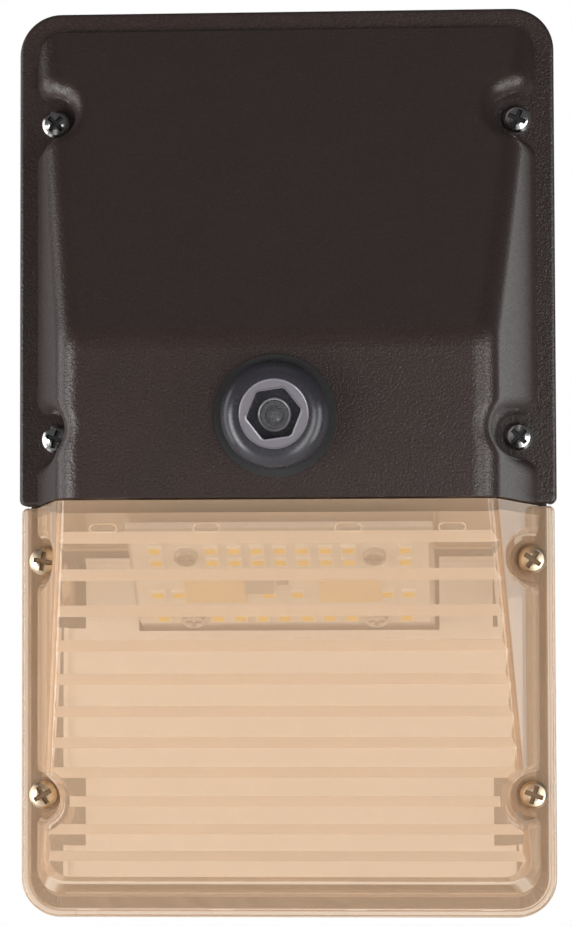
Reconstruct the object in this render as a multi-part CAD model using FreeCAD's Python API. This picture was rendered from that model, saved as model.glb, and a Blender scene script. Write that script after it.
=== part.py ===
# Wall pack light: a die-cast housing with two front halves.  The upper half is a
# raised metal cover with a photocell button, the lower half is a clear prismatic lens
# over a tilted LED board.  Millimetres.  X is to the right seen from the front, Z is up,
# the wall is the plane Y = 0 and everything stands in front of it, towards -Y.
# A "depth" below is a distance out from the wall, so a depth d lies at Y = -d.
import FreeCAD, Part
import math
import os
from FreeCAD import Vector

os.makedirs("parts", exist_ok=True)

# ---------------------------------------------------------------- driving sizes
WIDTH = 136.8             # over the cover flange
HEIGHT = 231.4            # twice the height of the cover flange above the middle
CORNER_R = 10.7           # outer corners seen from the front
SPLIT_Z = -10.8           # bottom edge of the cover
SPLIT_GAP = 0.6           # air between the cover and the lens
SPLIT_CORNER_R = 1.5      # flange corners beside that gap

HOUSING_DEPTH = 36.0      # wall plane to the rim that carries the gaskets
HOUSING_WALL = 3.2
HOUSING_DRAFT = 1.5       # degrees
BACK_WALL = 3.0
PARTITION_T = 6.0         # rib between the two compartments
RIM_EDGE_R = 1.2          # rounded back edge of the housing

GASKET_T = 1.6            # die-cut silicone, squeezed
GASKET_INSET = 0.4        # gasket edge back from the housing edge

FLANGE_T = 2.6            # flat edge of the cover and of the lens
FLANGE_EDGE_R = 1.0
SKIRT_WALL = 2.0          # lip that drops over the housing rim
SKIRT_DEPTH = 5.0
SKIRT_CLEAR = 0.5
LENS_EDGE_INSET = 0.6     # the lens flange is this much smaller all round

BODY_MARGIN = 4.7         # flange showing beside the raised bodies
TOP_MARGIN = 5.1
BOTTOM_MARGIN = 6.6
PROTRUSION = 48.0         # raised bodies in front of the flange face
SIDE_DRAFT = 13.0         # degrees, side walls of both raised bodies
COVER_WALL = 2.6
COVER_BEND_UP = 39.5      # above the split, the front face leans back from this line
COVER_BEND_R = 14.0
COVER_TOP_STEP = 1.0      # height of the step that ends the leaning face
COVER_SHOULDER_R = 7.0
COVER_CORNER_R = 6.5
LENS_WALL = 2.4
LENS_LOW_PROUD = 9.0      # the leaning lens front still stands this high at its foot
LENS_BOTTOM_DRAFT = 18.0  # degrees
LENS_SHOULDER_R = 3.0
LENS_CORNER_R = 6.5
PRISM_FIRST = 9.6         # foot of the first refractor step, below the lens top
PRISM_PITCH = 9.0         # from there to the next, and each pitch is a little smaller
PRISM_SHRINK = 0.97
PRISM_RISER = 2.5         # height of the slanted face between two steps
LENS_MARK_W = 6.2         # four rounded ejector pads on the top step
LENS_MARK_H = 1.6
LENS_MARK_T = 0.8
LENS_MARK_X = (17.1, 42.1)
LENS_MARK_DOWN = 6.2      # below the lens top
DRAIN_W = 5.4             # notches in the lower skirt
DRAIN_H = 2.0
DRAIN_X = (17.0, 51.6)

POCKET_R = 5.6            # screw pockets at the flange face
POCKET_DRAFT = 2.6        # degrees, they widen towards the front
POCKET_BLEND_R = 4.5      # soft edge where a pocket meets the side wall
LENS_POCKET_BLEND_R = 2.0

COVER_SCREW_INSET = 9.5   # from the side edge of the flange
COVER_SCREW_TOP = 28.7    # upper pair, below the top edge
COVER_SCREW_LOW = 16.9    # lower pair, above the split
LENS_SCREW_INSET = 6.3
LENS_SCREW_TOP = 13.6     # upper pair, below the lens top
LENS_SCREW_LOW = 31.5     # lower pair, above the bottom edge
SCREW_R = 1.75            # thread of the eight front screws
SCREW_HEAD_R = 3.5
SCREW_HEAD_H = 2.4
SCREW_LENGTH = 13.0
SCREW_CLEAR = 0.35        # around each thread, flange, gasket and boss alike
SCREW_BOSS_R = 4.5
SCREW_HOLE_DEPTH = 18.0
CROSS_W = 1.2             # arms of the cross recess
CROSS_SPAN = 4.8
CROSS_DEPTH = 1.5
COVER_SCREW_TURNS = (42, 25, 18, 45)     # degrees of each cross, as the screws came to rest
LENS_SCREW_TURNS = (10, 35, 60, 20)

WIRE_ENTRY_R = 11.0       # supply wires, through the back wall
WIRE_ENTRY_DOWN = 43.7    # below the top edge
WALL_HOLE_R = 2.6
WALL_HOLE_SPAN_X = 88.9
WALL_HOLE_SPAN_Z = 56.0
WALL_PAD_R = 7.0
WALL_PAD_H = 2.0
CONDUIT_R = 10.2          # side and top conduit entries
CONDUIT_BOSS_R = 13.6
CONDUIT_BOSS_T = 9.0
CONDUIT_PAD_T = 1.0
PLUG_FLANGE_R = 12.4
PLUG_FLANGE_T = 1.0
PLUG_SLOT_W = 2.4
PLUG_SLOT_DEPTH = 0.7
SEAL_T = 0.5
PLUG_FIT = 0.05           # running fit of a plug in its entry
GROMMET_INSET = 14.0      # from the inside of the housing wall
GROMMET_HOLE_R = 6.0
GROMMET_BORE_R = 3.0
GROMMET_LIP = 1.6
GROUND_SCREW_X = -30.0
GROUND_SCREW_UP = 30.0    # above the wire entry
GROUND_BOSS_R = 4.5
GROUND_BOSS_H = 4.0

DRIVER_SIDE = 16.7        # room beside the LED driver for its ears and the screw bosses
DRIVER_H = 30.0
DRIVER_T = 22.0
DRIVER_GAP = 3.6          # above the partition
DRIVER_WALL = 1.5
DRIVER_LID_T = 1.5
DRIVER_EAR = 8.0          # screwed ears at both ends
DRIVER_EAR_T = 2.0
SMALL_SCREW_R = 1.5
SMALL_HEAD_R = 2.9
SMALL_HEAD_H = 1.8
SWITCH_W = 15.0           # colour temperature switch on the driver lid
SWITCH_H = 8.0
SWITCH_T = 5.0
SWITCH_X = 24.0
SWITCH_KNOB_W = 3.6
SWITCH_KNOB_H = 3.0
SWITCH_KNOB_T = 3.0
SWITCH_STEP = 3.0         # travel between two settings
SWITCH_CLEAR = 0.3

LED_TILT = 62.3           # degrees between the board and the wall
LED_NOSE_BACK = 10.7      # top edge of the sloped bracket face, behind the lens front
LED_NOSE_DROP = 2.5       # the same edge, below the partition
BRACKET_W = 74.6
BRACKET_SLOPE_OVER = 1.0  # sloped face below the board
BRACKET_WALL = 3.0
BRACKET_RIBS = 2
BRACKET_TOP_GAP = 1.0     # below the partition
BRACKET_FOOT = 9.0
BRACKET_FOOT_T = 3.0
BRACKET_FOOT_X = 24.0
PAD_T = 0.5
BOARD_W = 72.6
BOARD_H = 35.0
BOARD_T = 1.6
BOARD_TOP = 1.6           # board edge below the nose
LED_W = 3.5
LED_H = 2.8
LED_T = 0.8
LED_ROWS = (4.5, 9.2, 32.5)       # full rows, down from the top edge of the board
LED_ROW_X = (0.0, 5.6, 11.2, 16.8, 30.5)
LED_SHORT_ROW = 22.5              # row broken by the two current regulators
LED_SHORT_X = (3.5, 25.9, 31.2)
BOARD_SCREW_X = 23.0
BOARD_SCREW_ROWS = (6.8, 32.5)
REGULATOR_X = 16.6
REGULATOR_ROW = 20.4
REGULATOR_W = 15.0
REGULATOR_H = 8.8
REGULATOR_T = 1.3
CONNECTOR_X = -5.6
CONNECTOR_W = 6.8
CONNECTOR_H = 5.6
CONNECTOR_T = 2.6
CONNECTOR_ROW = 16.8
LEAD_SLOT_W = 3.0         # slot through the board and bracket for the leads
LEAD_SLOT_H = 5.0

REFLECTOR_CLEAR = 5.0     # white tray behind the lens, to the housing walls
REFLECTOR_TOP_GAP = 1.5
REFLECTOR_BACK = 3.0      # front face of the tray, behind the housing rim
REFLECTOR_T = 1.2
REFLECTOR_LIP = 2.5       # turned-up edge
REFLECTOR_CORNER_R = 3.0
REFLECTOR_GAP = 1.2       # around the bracket
REFLECTOR_NOTCH_X = 5.5   # room beside and above the screw bosses
REFLECTOR_NOTCH_Z = 5.0
REFLECTOR_POST_X = 34.0
REFLECTOR_POST_UP = 13.0  # lower posts, above the lower edge of the tray
REFLECTOR_POST_SPAN = 32.0
REFLECTOR_POST_HEX = 8.0  # across the flats
REFLECTOR_PAD_R = 3.6
REFLECTOR_PAD_T = 0.8     # foam pads that hold the tray

CELL_UP = 19.4            # photocell button on the cover front, above the split
CELL_R = 13.0
CELL_PROUD = 8.0
CELL_RIM = 3.0            # straight rim below the dome
CELL_FACE_R = 8.5
CELL_GROOVE = 0.5
CELL_HEX = 11.4           # across the flats of the socket
CELL_HEX_TURN = 8         # degrees
CELL_HEX_DEPTH = 3.2
CELL_EYE_R = 3.35
CELL_EYE_DEPTH = 2.8
CELL_STEM_R = 6.35
CELL_STEM = 15.0
CELL_FIT = 0.05
CELL_SEAL_R = 14.7
CELL_SEAL_T = 1.0
CELL_NUT_HEX = 19.0
CELL_NUT_T = 4.0
CELL_WINDOW_T = 0.8
CELL_SENSOR_R = 2.4

# ---------------------------------------------------------------- derived sizes
FACE = HOUSING_DEPTH + GASKET_T + FLANGE_T          # front face of both flanges
FRONT = FACE + PROTRUSION
HALF_W = WIDTH / 2
TOP_Z = HEIGHT / 2
LENS_TOP_Z = SPLIT_Z - SPLIT_GAP
PARTITION_Z = SPLIT_Z - SPLIT_GAP / 2
HOUSING_INSET = SKIRT_WALL + SKIRT_CLEAR
HOUSING_HALF = HALF_W - HOUSING_INSET
HOUSING_TOP = TOP_Z - HOUSING_INSET
HOUSING_R = CORNER_R - HOUSING_INSET
INNER_HALF = HOUSING_HALF - HOUSING_WALL
DRIVER_W = 2 * (INNER_HALF - DRIVER_SIDE)
INNER_TOP = HOUSING_TOP - HOUSING_WALL
INNER_R = HOUSING_R - HOUSING_WALL
BODY_HALF = HALF_W - BODY_MARGIN
BODY_TOP = TOP_Z - TOP_MARGIN
BODY_BOTTOM = -TOP_Z + BOTTOM_MARGIN
HOLE_R = SCREW_R + SCREW_CLEAR
COVER_BEND_Z = SPLIT_Z + COVER_BEND_UP
CELL_Z = SPLIT_Z + CELL_UP
WIRE_ENTRY_Z = TOP_Z - WIRE_ENTRY_DOWN
CONDUIT_DEPTH = HOUSING_DEPTH / 2
PARTITION_LOW = PARTITION_Z - PARTITION_T / 2
PARTITION_HIGH = PARTITION_Z + PARTITION_T / 2
DRIVER_Z = PARTITION_HIGH + DRIVER_GAP + DRIVER_H / 2
BRACKET_SLOPE = BOARD_TOP + BOARD_H + BRACKET_SLOPE_OVER
REFLECTOR_FLOOR = HOUSING_DEPTH - REFLECTOR_BACK
LED_NOSE_DEPTH = FRONT - LED_NOSE_BACK
LED_NOSE_Z = PARTITION_LOW - LED_NOSE_DROP
LENS_LEAN = (PROTRUSION - LENS_LOW_PROUD) / (LENS_TOP_Z - BODY_BOTTOM)
GROMMET_X = GROMMET_INSET - INNER_HALF
GROMMET_DEPTH = HOUSING_DEPTH / 2
REFLECTOR_HALF = INNER_HALF - REFLECTOR_CLEAR
REFLECTOR_LOW = REFLECTOR_CLEAR - INNER_TOP
REFLECTOR_POSTS = [(s * REFLECTOR_POST_X, REFLECTOR_LOW + REFLECTOR_POST_UP + k * REFLECTOR_POST_SPAN)
                   for s in (-1, 1) for k in (0, 1)]
COVER_SCREWS = [(s * (HALF_W - COVER_SCREW_INSET), z)
                for z in (TOP_Z - COVER_SCREW_TOP, SPLIT_Z + COVER_SCREW_LOW) for s in (-1, 1)]
LENS_SCREWS = [(s * (HALF_W - LENS_SCREW_INSET), z)
               for z in (LENS_TOP_Z - LENS_SCREW_TOP, LENS_SCREW_LOW - TOP_Z) for s in (-1, 1)]
WALL_HOLES = [(sx * WALL_HOLE_SPAN_X / 2, WIRE_ENTRY_Z + sz * WALL_HOLE_SPAN_Z / 2)
              for sx in (-1, 1) for sz in (-1, 1)]


# ---------------------------------------------------------------- small helpers
def tan(degrees):
    return math.tan(math.radians(degrees))


def at(x, depth, z):
    """A point at a distance out from the wall."""
    return Vector(x, -depth, z)


def rounded_rect(half, z_low, z_high, r_low, r_high, depth):
    """Closed wire parallel to the wall, with its own radius at the lower and upper corners."""
    def arc(cx, cz, r, start):
        points = [at(cx + r * math.cos(math.radians(a)), depth, cz + r * math.sin(math.radians(a)))
                  for a in (start, start + 45, start + 90)]
        return Part.Arc(*points).toShape()
    edges = [Part.LineSegment(at(half, depth, z_low + r_low), at(half, depth, z_high - r_high)).toShape(),
             arc(half - r_high, z_high - r_high, r_high, 0),
             Part.LineSegment(at(half - r_high, depth, z_high), at(r_high - half, depth, z_high)).toShape(),
             arc(r_high - half, z_high - r_high, r_high, 90),
             Part.LineSegment(at(-half, depth, z_high - r_high), at(-half, depth, z_low + r_low)).toShape(),
             arc(r_low - half, z_low + r_low, r_low, 180),
             Part.LineSegment(at(r_low - half, depth, z_low), at(half - r_low, depth, z_low)).toShape(),
             arc(half - r_low, z_low + r_low, r_low, 270)]
    return Part.Wire(edges)


def slab(wire, thickness):
    """Solid from a wall-parallel wire, growing out from the wall."""
    return Part.Face(wire).extrude(Vector(0, -thickness, 0))


def block(x0, x1, d0, d1, z0, z1):
    return Part.makeBox(x1 - x0, d1 - d0, z1 - z0, at(x0, d1, z0))


def rod(x, z, radius, d0, d1):
    """Round bar square to the wall."""
    return Part.makeCylinder(radius, d1 - d0, at(x, d0, z), Vector(0, -1, 0))


def profile_x(points, x0, x1):
    """Solid from a (depth, z) outline, extruded across the object."""
    wire = Part.makePolygon([at(x0, d, z) for d, z in points] + [at(x0, *points[0])])
    return Part.Face(wire).extrude(Vector(x1 - x0, 0, 0))


def revolve(points, x, z):
    """Solid of revolution from a (radius, depth) outline, about an axis square to the wall."""
    wire = Part.makePolygon([at(x + r, d, z) for r, d in points] + [at(x + points[0][0], points[0][1], z)])
    return Part.Face(wire).revolve(at(x, 0, z), Vector(0, 1, 0), 360)


def hexagon(x, z, across, d0, d1, turn=0):
    corner = across / 2 / math.cos(math.radians(30))
    points = [at(x + corner * math.cos(math.radians(60 * k + turn)), d0,
                 z + corner * math.sin(math.radians(60 * k + turn))) for k in range(7)]
    return Part.Face(Part.makePolygon(points)).extrude(Vector(0, d0 - d1, 0))


def fuse(shapes):
    return shapes[0].multiFuse(shapes[1:]).removeSplitter()


def face_normal(face, point):
    u, v = face.Surface.parameter(point)
    return face.normalAt(u, v)


def edge_faces(shape, edge):
    return [f for f in shape.Faces if any(edge.isSame(e) for e in f.Edges)]


def shoulder_edges(shape):
    """Long edges between a side wall and the front face."""
    found = []
    for edge in shape.Edges:
        middle = edge.valueAt((edge.FirstParameter + edge.LastParameter) / 2)
        normals = [face_normal(f, middle) for f in edge_faces(shape, edge)]
        side = [n for n in normals if abs(n.x) > 0.9]
        front = [n for n in normals if n.y < -0.7]
        if side and front:
            found.append(edge)
    return found


def pocket_edges(shape, x, z, reach):
    """Edges where the conical pocket near (x, z) meets the outside of a raised body."""
    found = []
    for edge in shape.Edges:
        faces = edge_faces(shape, edge)
        cones = [f for f in faces if isinstance(f.Surface, Part.Cone)]
        if len(faces) == 2 and len(cones) == 1 and edge.BoundBox.YLength > 0.5:
            middle = cones[0].BoundBox.Center
            if abs(middle.z - z) < reach and middle.x * x > 0:
                found.append(edge)
    return found


# ---------------------------------------------------------------- raised bodies
def drafted_block(half, z_low, z_high, front):
    """Block with leaning side walls, from behind the flange to beyond the front."""
    behind = FACE - HOUSING_DEPTH / 2
    wide = half + (FACE - behind) * tan(SIDE_DRAFT)
    narrow = half - (front - FACE) * tan(SIDE_DRAFT)
    wire = Part.makePolygon([at(-wide, behind, z_low), at(-narrow, front, z_low), at(narrow, front, z_low),
                             at(wide, behind, z_low), at(-wide, behind, z_low)])
    return Part.Face(wire).extrude(Vector(0, 0, z_high - z_low))


def pocket_cone(x, z, wall):
    radius = POCKET_R + wall
    start = FACE - FLANGE_T
    grow = tan(POCKET_DRAFT)
    end = FRONT + COVER_SHOULDER_R
    return Part.makeCone(radius - FLANGE_T * grow, radius + (end - FACE) * grow, end - start,
                         at(x, start, z), Vector(0, -1, 0))


def cover_solid(wall):
    """The raised body of the cover, or with a wall thickness the hollow inside it."""
    lean = (PROTRUSION - COVER_TOP_STEP) / (BODY_TOP - COVER_BEND_Z)
    front = FRONT - wall
    bend = COVER_BEND_Z + (wall - wall * math.sqrt(1 + lean * lean)) / lean
    far = BODY_TOP + PROTRUSION
    base = FACE - HOUSING_DEPTH
    half = BODY_HALF - wall / math.cos(math.radians(SIDE_DRAFT))
    z_low = SPLIT_Z + wall
    sides = drafted_block(half, z_low, far, FRONT + 1)
    lengthwise = profile_x([(base, z_low - 1), (front, z_low - 1), (front, bend),
                            (front - (far - bend) * lean, far + 1), (base - PROTRUSION, far + 1)],
                           -WIDTH, WIDTH)
    crease = [e for e in lengthwise.Edges
              if abs(e.BoundBox.ZMin - bend) < 0.001 and abs(e.BoundBox.ZMax - bend) < 0.001]
    solid = sides.common(lengthwise.makeFillet(COVER_BEND_R, crease))
    solid = solid.makeFillet(COVER_SHOULDER_R - wall, shoulder_edges(solid))
    floor = FACE - FLANGE_T / 2 if wall == 0 else FACE - FLANGE_T - 1
    solid = solid.common(block(-WIDTH, WIDTH, floor, FRONT + 1, z_low, far))
    for x, z in COVER_SCREWS:
        solid = solid.cut(pocket_cone(x, z, wall))
    if wall == 0:
        for x, z in COVER_SCREWS:
            solid = solid.makeFillet(POCKET_BLEND_R, pocket_edges(solid, x, z, 2 * POCKET_R))
    corner = COVER_CORNER_R - wall / 2
    base_half = half + (FACE - floor) * tan(SIDE_DRAFT)
    tip_half = half - PROTRUSION * tan(SIDE_DRAFT)
    foot = rounded_rect(base_half, z_low - PROTRUSION, BODY_TOP - wall, 1, corner, floor)
    tip = rounded_rect(tip_half, z_low - PROTRUSION, BODY_TOP - wall, 1, corner, FRONT + 1)
    return solid.common(Part.makeLoft([foot, tip], True, True))


def lens_solid(wall):
    """The raised body of the lens, or with a wall thickness the hollow inside it."""
    half = BODY_HALF - wall / math.cos(math.radians(SIDE_DRAFT))
    z_high = LENS_TOP_Z - wall
    z_low = BODY_BOTTOM + wall
    floor = FACE - FLANGE_T / 2 if wall == 0 else FACE - FLANGE_T - 1
    if wall == 0:
        front = [(FRONT, z_high), (FRONT - (z_high - z_low) * LENS_LEAN, z_low)]
    else:
        front = prism_steps(wall, z_high, z_low)
    outline = [(floor, z_high)] + front + [(floor, z_low)]
    rise = FRONT + 1 - floor
    bottom = z_low - (FACE - floor) * tan(LENS_BOTTOM_DRAFT)
    corner = LENS_CORNER_R - wall / 2
    foot = rounded_rect(half + (FACE - floor) * tan(SIDE_DRAFT), bottom, z_high + LENS_CORNER_R,
                        corner, 1, floor)
    tip = rounded_rect(half - (FRONT + 1 - FACE) * tan(SIDE_DRAFT), bottom + rise * tan(LENS_BOTTOM_DRAFT),
                       z_high + LENS_CORNER_R, corner, 1, FRONT + 1)
    solid = Part.makeLoft([foot, tip], True, True).common(profile_x(outline, -WIDTH, WIDTH))
    if wall == 0:
        leaning = [f for f in solid.Faces if f.normalAt(0, 0).y < -0.8]
        rim = [e for f in leaning for e in f.Edges if e.BoundBox.ZMax < z_high - 0.01 or e.BoundBox.ZLength > 1]
        solid = solid.makeFillet(LENS_SHOULDER_R, rim)
    for x, z in LENS_SCREWS:
        solid = solid.cut(pocket_cone(x, z, wall))
    if wall == 0:
        for x, z in LENS_SCREWS:
            solid = solid.makeFillet(LENS_POCKET_BLEND_R, pocket_edges(solid, x, z, 2 * POCKET_R))
    return solid


def prism_steps(wall, z_high, z_low):
    """Inside of the lens front: wall-parallel windows joined by slanted risers."""
    skin = wall * math.sqrt(1 + LENS_LEAN * LENS_LEAN)
    points = []
    top = z_high
    foot = LENS_TOP_Z - PRISM_FIRST
    pitch = PRISM_PITCH
    while top > z_low:
        below = max(foot + PRISM_RISER, z_low)
        depth = FRONT - skin - (LENS_TOP_Z - below) * LENS_LEAN
        points += [(depth, top), (depth, below)]
        top = foot
        foot -= pitch
        pitch *= PRISM_SHRINK
    return points


def lens_marks():
    """Rounded pads on the inside of the top step."""
    face = prism_steps(LENS_WALL, LENS_TOP_Z - LENS_WALL, BODY_BOTTOM)[0][0]
    z = LENS_TOP_Z - LENS_MARK_DOWN
    pads = []
    for x in LENS_MARK_X:
        for s in (-1, 1):
            pad = block(s * x - LENS_MARK_W / 2, s * x + LENS_MARK_W / 2, face - LENS_MARK_T, face + LENS_MARK_T,
                        z - LENS_MARK_H / 2, z + LENS_MARK_H / 2)
            pads.append(pad.makeFillet(LENS_MARK_H / 3, [e for e in pad.Edges if e.BoundBox.YLength > LENS_MARK_T]))
    return pads


def flange(outer, z_low, z_high, r_low, r_high, skirt_wall):
    """Flat edge with its front edge rounded and a skirt that drops over the housing."""
    plate = slab(rounded_rect(outer, z_low, z_high, r_low, r_high, FACE - FLANGE_T), FLANGE_T)
    front = [f for f in plate.Faces if f.normalAt(0, 0).y < -0.9][0]
    plate = plate.makeFillet(FLANGE_EDGE_R, front.Edges)
    back = FACE - FLANGE_T - SKIRT_DEPTH
    skirt = slab(rounded_rect(outer, z_low, z_high, r_low, r_high, back), SKIRT_DEPTH)
    reach = HOUSING_DEPTH
    low = z_low + skirt_wall if r_low > r_high else z_low - reach
    high = z_high - skirt_wall if r_high > r_low else z_high + reach
    corner = max(r_low, r_high) - skirt_wall
    hollow = slab(rounded_rect(outer - skirt_wall, low, high, corner, corner, back), SKIRT_DEPTH)
    return fuse([plate, skirt.cut(hollow)])


def screw_hole(x, z):
    return rod(x, z, HOLE_R, FACE - FLANGE_T - 1, FACE + 1)


def front_cover():
    shape = fuse([flange(HALF_W, SPLIT_Z, TOP_Z, SPLIT_CORNER_R, CORNER_R, SKIRT_WALL), cover_solid(0)])
    shape = shape.cut(cover_solid(COVER_WALL))
    holes = [screw_hole(x, z) for x, z in COVER_SCREWS]
    holes.append(rod(0, CELL_Z, CELL_STEM_R + CELL_FIT, FRONT - 2 * COVER_WALL, FRONT + 1))
    return shape.cut(holes)


def lens():
    edge = flange(HALF_W - LENS_EDGE_INSET, LENS_EDGE_INSET - TOP_Z, LENS_TOP_Z,
                  CORNER_R - LENS_EDGE_INSET, SPLIT_CORNER_R, SKIRT_WALL - LENS_EDGE_INSET)
    shape = fuse([edge, lens_solid(0)])
    shape = fuse([shape.cut(lens_solid(LENS_WALL))] + lens_marks())
    back = FACE - FLANGE_T - SKIRT_DEPTH
    drains = [block(s * x - DRAIN_W / 2, s * x + DRAIN_W / 2, back - 1, back + DRAIN_H,
                    -TOP_Z - 1, SKIRT_WALL + 1 - TOP_Z) for x in DRAIN_X for s in (-1, 1)]
    return shape.cut([screw_hole(x, z) for x, z in LENS_SCREWS] + drains)


# ---------------------------------------------------------------- housing
def housing_block(half, top, radius, d0, d1):
    """Drafted rounded block; the outline is exact at the rim and narrows towards the wall."""
    def wire(depth):
        shrink = (HOUSING_DEPTH - depth) * tan(HOUSING_DRAFT)
        return rounded_rect(half - shrink, shrink - top, top - shrink, radius, radius, depth)
    return Part.makeLoft([wire(d0), wire(d1)], True, True)


def conduit_entries():
    """Axis starts on the outer walls, with the outward direction of each entry."""
    shrink = (HOUSING_DEPTH - CONDUIT_DEPTH) * tan(HOUSING_DRAFT)
    side = HOUSING_HALF - shrink
    top = HOUSING_TOP - shrink
    return [(at(side, CONDUIT_DEPTH, WIRE_ENTRY_Z), Vector(1, 0, 0)),
            (at(-side, CONDUIT_DEPTH, WIRE_ENTRY_Z), Vector(-1, 0, 0)),
            (at(0, CONDUIT_DEPTH, top), Vector(0, 0, 1))]


def back_housing():
    body = housing_block(HOUSING_HALF, HOUSING_TOP, HOUSING_R, 0, HOUSING_DEPTH)
    wall_edges = [e for e in body.Edges if e.BoundBox.YMin > -0.001]
    body = body.makeFillet(RIM_EDGE_R, wall_edges)
    shell = body.cut(housing_block(INNER_HALF, INNER_TOP, INNER_R, BACK_WALL, HOUSING_DEPTH + 1))
    added = [shell, block(-INNER_HALF, INNER_HALF, BACK_WALL, HOUSING_DEPTH,
                          PARTITION_LOW, PARTITION_HIGH)]
    for x, z in COVER_SCREWS + LENS_SCREWS:
        side = math.copysign(HOUSING_WALL, x)
        web = block(min(x, x + side), max(x, x + side), BACK_WALL, HOUSING_DEPTH,
                    z - SCREW_BOSS_R, z + SCREW_BOSS_R)
        added.append(fuse([rod(x, z, SCREW_BOSS_R, BACK_WALL - 1, HOUSING_DEPTH), web]).common(body))
    for x, z in WALL_HOLES:
        added.append(rod(x, z, WALL_PAD_R, BACK_WALL - 1, BACK_WALL + WALL_PAD_H).common(body))
    added.append(rod(0, WIRE_ENTRY_Z, WIRE_ENTRY_R + HOUSING_WALL, BACK_WALL - 1, BACK_WALL + WALL_PAD_H))
    added.append(rod(GROUND_SCREW_X, WIRE_ENTRY_Z + GROUND_SCREW_UP, GROUND_BOSS_R,
                     BACK_WALL - 1, BACK_WALL + GROUND_BOSS_H))
    for start, out in conduit_entries():
        added.append(Part.makeCylinder(CONDUIT_BOSS_R, CONDUIT_BOSS_T + CONDUIT_PAD_T,
                                       start - out * CONDUIT_BOSS_T, out))
    shape = fuse(added)
    cuts = [rod(x, z, HOLE_R, HOUSING_DEPTH - SCREW_HOLE_DEPTH, HOUSING_DEPTH + 1)
            for x, z in COVER_SCREWS + LENS_SCREWS]
    cuts += [rod(x, z, WALL_HOLE_R, -1, HOUSING_DEPTH / 2) for x, z in WALL_HOLES]
    cuts.append(rod(0, WIRE_ENTRY_Z, WIRE_ENTRY_R, -1, HOUSING_DEPTH / 2))
    for start, out in conduit_entries():
        cuts.append(Part.makeCylinder(CONDUIT_R, CONDUIT_BOSS_T + 2 * CONDUIT_PAD_T + 1,
                                      start - out * (CONDUIT_BOSS_T + 1), out))
    cuts.append(Part.makeCylinder(GROMMET_HOLE_R, PARTITION_T + 2,
                                  at(GROMMET_X, GROMMET_DEPTH, PARTITION_LOW - 1)))
    cuts += [rod(x, z, SMALL_SCREW_R, BACK_WALL / 2, REFLECTOR_FLOOR) for x, z in floor_screws()]
    return shape.cut(cuts)


def floor_screws():
    """Blind holes in the floor for the driver, the bracket and the ground screw."""
    points = [(s * (DRIVER_W + DRIVER_EAR) / 2, DRIVER_Z) for s in (-1, 1)]
    points += [(s * BRACKET_FOOT_X, bracket_end()[1] - BRACKET_FOOT / 2) for s in (-1, 1)]
    points.append((GROUND_SCREW_X, WIRE_ENTRY_Z + GROUND_SCREW_UP))
    return points


def gasket(z_low, z_high, screws):
    """Closed loop between the housing rim and a flange, with ears round the screws."""
    outer = slab(rounded_rect(HOUSING_HALF - GASKET_INSET, GASKET_INSET - HOUSING_TOP,
                              HOUSING_TOP - GASKET_INSET, HOUSING_R - GASKET_INSET,
                              HOUSING_R - GASKET_INSET, HOUSING_DEPTH), GASKET_T)
    inner = slab(rounded_rect(INNER_HALF, -INNER_TOP, INNER_TOP, INNER_R, INNER_R, HOUSING_DEPTH), GASKET_T)
    bar = block(-INNER_HALF, INNER_HALF, HOUSING_DEPTH, HOUSING_DEPTH + GASKET_T, PARTITION_LOW, PARTITION_HIGH)
    ears = []
    for x, z in screws:
        ears.append(rod(x, z, SCREW_BOSS_R, HOUSING_DEPTH, HOUSING_DEPTH + GASKET_T).common(outer))
    sheet = fuse([outer.cut(inner), bar] + ears)
    sheet = sheet.common(block(-WIDTH, WIDTH, 0, FACE, z_low, z_high))
    return sheet.cut([rod(x, z, HOLE_R, 0, FACE) for x, z in screws])


def cross_screw(x, z, seat, head_r, head_h, shank_r, length, turn=0):
    """Pan head screw with a cross recess, driven towards the wall; the head sits at `seat`."""
    crown = head_h * 0.45
    points = [(0, seat - length), (shank_r * 0.6, seat - length), (shank_r, seat - length + shank_r),
              (shank_r, seat), (head_r, seat), (head_r, seat + head_h - crown),
              (head_r * 0.82, seat + head_h - crown * 0.35), (head_r * 0.45, seat + head_h), (0, seat + head_h)]
    shape = revolve(points, x, z)
    scale = head_r / SCREW_HEAD_R
    span = CROSS_SPAN * scale / 2
    half = CROSS_W * scale / 2
    deep = seat + head_h - CROSS_DEPTH * scale
    arms = [block(x - span, x + span, deep, seat + head_h + 1, z - half, z + half),
            block(x - half, x + half, deep, seat + head_h + 1, z - span, z + span)]
    for arm in arms:
        arm.rotate(at(x, 0, z), Vector(0, 1, 0), turn)
    return shape.cut(arms)


def front_screws(points, turns):
    return Part.makeCompound([cross_screw(x, z, FACE, SCREW_HEAD_R, SCREW_HEAD_H, SCREW_R, SCREW_LENGTH, turn)
                              for (x, z), turn in zip(points, turns)])


def small_screw(x, z, seat, length):
    return cross_screw(x, z, seat, SMALL_HEAD_R, SMALL_HEAD_H, SMALL_SCREW_R, length)


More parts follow.
